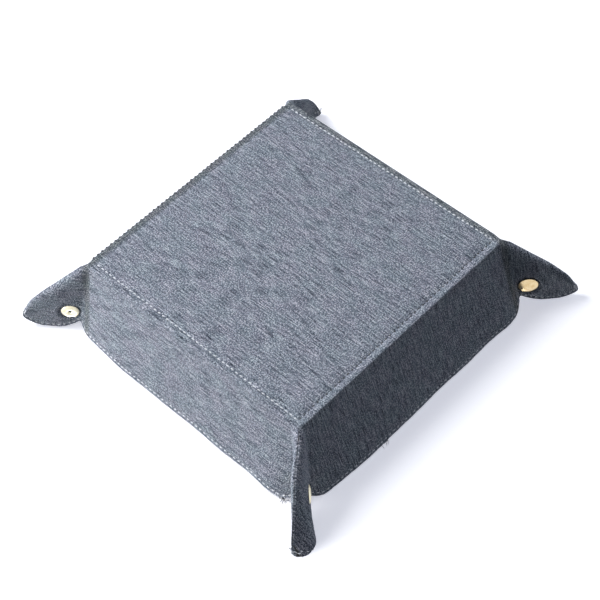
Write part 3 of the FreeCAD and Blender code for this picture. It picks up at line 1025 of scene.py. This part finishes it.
def lining_felt():
    """Near-black felt: a short matted pile with lighter fibres."""
    n = Nodes("lining_felt")
    uv = n.flat_sheet()
    fibres = n.noise(uv, (160.0, 60.0, 1.0), detail=4.0, roughness=0.7)
    crossing = n.noise(uv, (55.0, 170.0, 1.0), detail=4.0, roughness=0.7)
    pile = n.noise(uv, (14.0, 14.0, 1.0), detail=3.0)
    tone = n.maths("MAXIMUM", fibres, crossing)
    tone = n.maths("ADD", n.maths("MULTIPLY", tone, 0.75), n.maths("MULTIPLY", pile, 0.25))
    stops = (0.38, (0.012, 0.013, 0.015)), (0.6, (0.032, 0.034, 0.039)), (0.75, (0.075, 0.078, 0.085))
    n.surface(Base_Color=n.ramp(tone, stops), Roughness=0.95, Specular_IOR_Level=0.1)
    n.surface(Sheen_Weight=0.35, Sheen_Roughness=0.6)
    n.bump(tone, 0.6, 0.0008)
    return n.owner


def mottled(name, dark, light, scale, detail=4.0, roughness=0.9, relief=(0.3, 0.0002)):
    """A plain matter between two tones, such as board."""
    n = Nodes(name)
    mottle = n.noise(n.position(), (scale, scale, scale), detail)
    n.surface(Base_Color=n.ramp(mottle, ((0.35, dark), (0.65, light))), Roughness=roughness)
    n.bump(mottle, *relief)
    return n.owner


def sewing_thread(name, dark, light):
    """Thread with its twist."""
    return mottled(name, dark, light, 3200.0, 1.0, 0.6, (0.5, 0.0001))


def brass(name, light, dark, roughness):
    """Stamped brass with faint tarnish and scratches from rubbing."""
    n = Nodes(name)
    place = n.position()
    tarnish = n.noise(place, (420.0, 420.0, 420.0), detail=5.0)
    scratches = n.noise(place, (3000.0, 260.0, 900.0), detail=3.0)
    rough = n.maths("ADD", n.maths("MULTIPLY", scratches, 0.22), roughness)
    n.surface(Base_Color=n.ramp(tarnish, ((0.35, dark), (0.6, light))), Metallic=1.0, Roughness=rough)
    n.bump(scratches, 0.12, 0.00006)
    return n.owner


# ---- hardware


def dress_hardware():
    """Gives the snap pieces and the hidden board their own finish."""
    gold = brass("snap_gold", (0.90, 0.70, 0.40), (0.76, 0.54, 0.26), 0.2)
    pale = brass("snap_pale", (0.83, 0.74, 0.56), (0.62, 0.50, 0.33), 0.24)
    cream = brass("snap_cream", (0.94, 0.88, 0.68), (0.86, 0.77, 0.53), 0.42)
    wire = brass("snap_wire", (0.76, 0.62, 0.36), (0.55, 0.42, 0.22), 0.3)
    board = mottled("pressed_board", (0.30, 0.24, 0.18), (0.42, 0.35, 0.27), 900.0)
    finish = {"cap": gold, "socket": pale, "stud": pale, "eyelet": cream, "spring": wire}
    for corner in CORNERS:
        for part, material in finish.items():
            set_material(frame["nodes"][f"{corner}_snap_{part}"], material)
    set_material(frame["nodes"]["base_board"], board)


def set_material(node, material):
    node.data.materials.clear()
    node.data.materials.append(material)
    node.data.set_sharp_from_angle(angle=math.radians(35))


def make_painted_cap_shadows():
    """A near-black ring of painted shadow round each snap's cap, where the cap sinks into the cloth."""
    count, sides = 48, 8
    around = np.linspace(0, 2 * math.pi, count, endpoint=False)[:, None]
    thick = np.linspace(0, 2 * math.pi, sides, endpoint=False)[None, :]
    radius = CAP_RADIUS + CAP_SHADOW_GAP + CAP_SHADOW_THICK * np.cos(thick)
    centre = SNAP_MIDDLE - (SNAP_MIDDLE @ EAR_SIDE + EAR_HALF_WIDTH) * EAR_SIDE
    ring = centre + (radius * np.cos(around))[..., None] * EAR_OUT
    ring = ring + (radius * np.sin(around))[..., None] * np.array([0, 0, 1.0])
    ring = ring - (CAP_SHADOW_THICK * np.sin(thick) * np.ones_like(around))[..., None] * EAR_SIDE
    faces = []
    for i in range(count):
        for k in range(sides):
            here, ahead = i * sides, (i + 1) % count * sides
            beside = (k + 1) % sides
            faces.append((here + k, ahead + k, ahead + beside, here + beside))
    # painted shadow: near black, standing for the shade in the gap round the cap
    dark = mottled("painted_cap_shadow", (0.006, 0.006, 0.006), (0.012, 0.011, 0.010), 900.0)
    for turns, corner in enumerate(CORNERS):
        cap_shadow = add_mesh(f"seat_{corner}", turned(ring.reshape(-1, 3), turns), faces)
        cap_shadow.data.materials.append(dark)
        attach(cap_shadow, f"{corner}_cap_flap")


# ---- studio

# The reference shows the tray upside down, so the camera looks up at its underside. A sheet of paper
# at the rim's height is seen only from below, and the table at the base's height only from above.

PAPER_GAP = 0.0004
WORLD_LIGHT = 0.375
WORLD_LEAN = 0.25  # how much its light changes from side to side
WORLD_COLOUR = (0.94, 0.98, 1.07, 1)
VIEW_AZIMUTH = math.radians(-41.46)
VIEW_ELEVATION = math.radians(52.91)
VIEW_ROLL = math.radians(-6.12)
VIEW_DISTANCE = 5.235  # in base sides
VIEW_SHIFT = (0.0226, -0.1615)
FOCAL_LENGTH = 92.9


def one_sided(name, glow, from_below):
    """White paper that shows only on one side and casts no shadow."""
    n = Nodes(name)
    n.surface(Base_Color=(0.80, 0.80, 0.80, 1), Roughness=1.0, Specular_IOR_Level=0.0)
    n.surface(Emission_Color=(*glow, 1), Emission_Strength=1.0)
    clear = n.add("ShaderNodeBsdfTransparent").outputs[0]
    white = n.shader.outputs[0]
    mix = n.add("ShaderNodeMixShader")
    n.link(n.add("ShaderNodeNewGeometry").outputs["Backfacing"], mix.inputs[0])
    n.link(clear if from_below else white, mix.inputs[1])
    n.link(white if from_below else clear, mix.inputs[2])
    n.link(mix.outputs[0], n.tree.nodes["Material Output"].inputs["Surface"])
    return n.owner


def ground(name, z, glow, from_below):
    bpy.ops.mesh.primitive_plane_add(size=6.0, location=(0, 0, z))
    plane = bpy.context.object
    plane.name = name
    plane.data.materials.append(one_sided(name, glow, from_below))
    for ray in ("shadow", "diffuse", "glossy", "transmission"):
        setattr(plane, f"visible_{ray}", False)


def area_light(name, direction, distance, size, power):
    """A square light, aimed at the tray from a direction."""
    data = bpy.data.lights.new(name, "AREA")
    data.shape = "SQUARE"
    data.size = size
    data.energy = power
    light = add_object(name, data)
    towards = Vector(direction).normalized()
    target = Vector((0, 0, 0.03))
    light.location = target + towards * distance
    light.rotation_euler = towards.to_track_quat("Z", "Y").to_euler()
    light.visible_camera = False


def make_lights():
    # for the underside, as in the reference: one low at the side and one high
    area_light("side_below", (-0.9, -0.56, -0.17), 0.95, 0.5, 7.9)
    area_light("high_below", (-0.25, -0.42, -0.85), 1.2, 0.35, 10.3)
    # for the open side: straight above, so it leaves the outer faces alone
    area_light("overhead", (-0.2, -0.15, 1.0), 1.3, 0.5, 14.0)


def make_world():
    """White all round; as a light it is weaker, and weakest from the back left."""
    n = Nodes("studio", bpy.data.worlds)
    path = n.add("ShaderNodeLightPath").outputs
    seen = n.maths("MAXIMUM", path["Is Camera Ray"], path["Is Glossy Ray"])
    lean = n.add("ShaderNodeVectorMath", operation="DOT_PRODUCT")
    n.link(n.add("ShaderNodeTexCoord").outputs["Generated"], lean.inputs[0])
    lean.inputs[1].default_value = (WORLD_LEAN, -WORLD_LEAN, 0)
    light = n.maths("ADD", lean.outputs["Value"], WORLD_LIGHT)
    background = n.tree.nodes["Background"].inputs
    background["Color"].default_value = WORLD_COLOUR
    n.link(n.maths("MAXIMUM", seen, light), background["Strength"])
    bpy.context.scene.world = n.owner


def make_camera():
    """The reference's viewpoint, turned half round the X axis with the tray."""
    az, el = VIEW_AZIMUTH, VIEW_ELEVATION
    back = Vector((math.sin(az) * math.cos(el), -math.cos(az) * math.cos(el), math.sin(el)))
    across = Vector((0, 0, 1)).cross(back).normalized()
    up = back.cross(across)
    c, s = math.cos(VIEW_ROLL), math.sin(VIEW_ROLL)
    across, up = c * across + s * up, c * up - s * across
    side = 2 * HALF * MM
    place = side * (back * VIEW_DISTANCE + across * VIEW_SHIFT[0] + up * VIEW_SHIFT[1])
    columns = Matrix((across, up, back)).transposed().to_4x4()
    columns.translation = place
    data = bpy.data.cameras.new("camera")
    data.sensor_width = 36.0
    data.lens = FOCAL_LENGTH
    data.clip_start = 0.01
    camera = add_object("camera", data)
    camera.matrix_world = Matrix.Rotation(math.pi, 4, "X") @ columns
    bpy.context.scene.camera = camera


def make_studio():
    ground("paper", CAD_BOX[1][2] + PAPER_GAP, (0.44, 0.45, 0.51), True)
    ground("table", -PAPER_GAP, (0.58, 0.58, 0.61), False)
    make_lights()
    make_world()
    make_camera()
    bpy.context.scene.view_settings.view_transform = "Standard"
    bpy.context.scene.view_settings.look = "None"


# ---- build


def build():
    materials = {
        "cover_cloth": cover_cloth(),
        "lining_felt": lining_felt(),
        "interlining": mottled("stiff_interlining", (0.5, 0.49, 0.46), (0.62, 0.61, 0.58), 1600.0),
    }
    bright = sewing_thread("pale_thread", (0.55, 0.58, 0.64), (0.90, 0.92, 0.95))
    # painted shade: the pale thread again, near black where the base's outer stitches lie in shade; the
    # walls' loose yarn ends are dark of their own
    shaded_thread_and_yarn = sewing_thread("shade_thread_and_dark_yarn", (0.02, 0.022, 0.025), (0.07, 0.075, 0.08))
    make_base(materials)
    for turns, side in enumerate(SIDES):
        make_wall(side, turns, materials)
        make_interlining(side, turns, materials)
    for corner, kind in FLAPS:
        make_flap(corner, kind, materials)
    make_base_stitches((bright, shaded_thread_and_yarn))
    make_wall_stitches((bright, shaded_thread_and_yarn))
    make_flap_stitches((bright, shaded_thread_and_yarn))
    make_painted_cap_shadows()
    dress_hardware()
    make_studio()


build()
